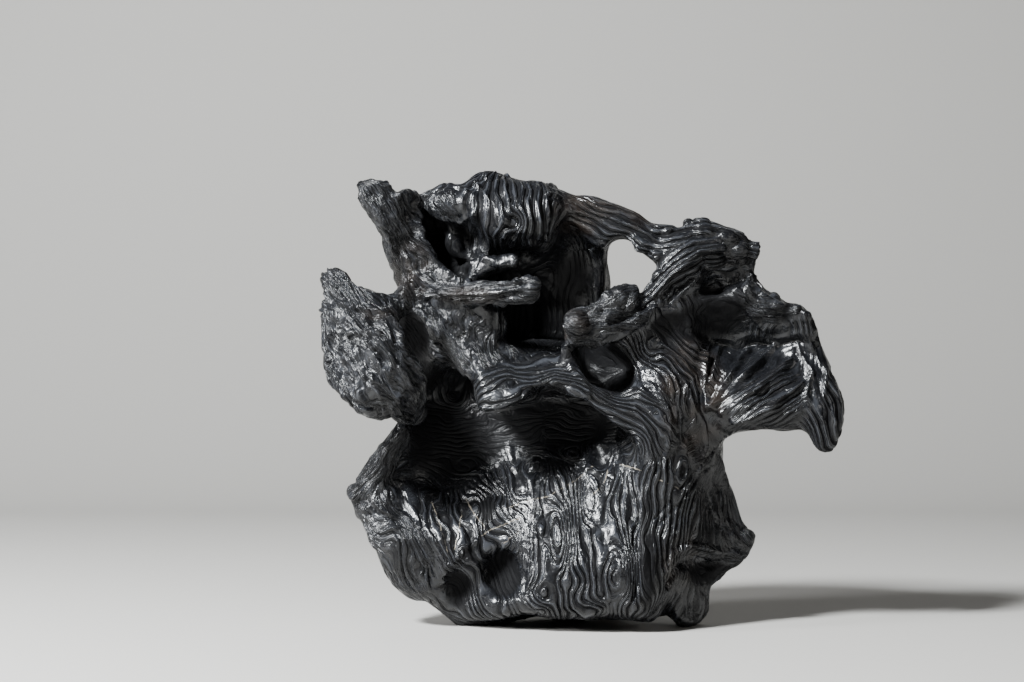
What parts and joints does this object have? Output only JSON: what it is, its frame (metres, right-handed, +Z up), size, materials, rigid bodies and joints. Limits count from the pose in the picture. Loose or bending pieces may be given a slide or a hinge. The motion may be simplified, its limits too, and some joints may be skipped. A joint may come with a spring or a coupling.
{
  "type": "scholars rock",
  "caption": "Standing scholar's stone: a fluted bowl under a ledge, with a leaf, a horn, an open mouth and a bridge to a hooked wing.",
  "frame": {"origin": "centre of the bounding box in plan, on the surface that the feet stand on", "axes": "+X to the right as seen from the front, along the stone's width; +Y away from the front; +Z up"},
  "size_m": [0.5254, 0.2428, 0.4563],
  "materials": {
    "stone": "waxed, glossy, dark grey to black"
  },
  "bodies": {
    "root": {"stone": "stone"}
  },
  "joints": []
}
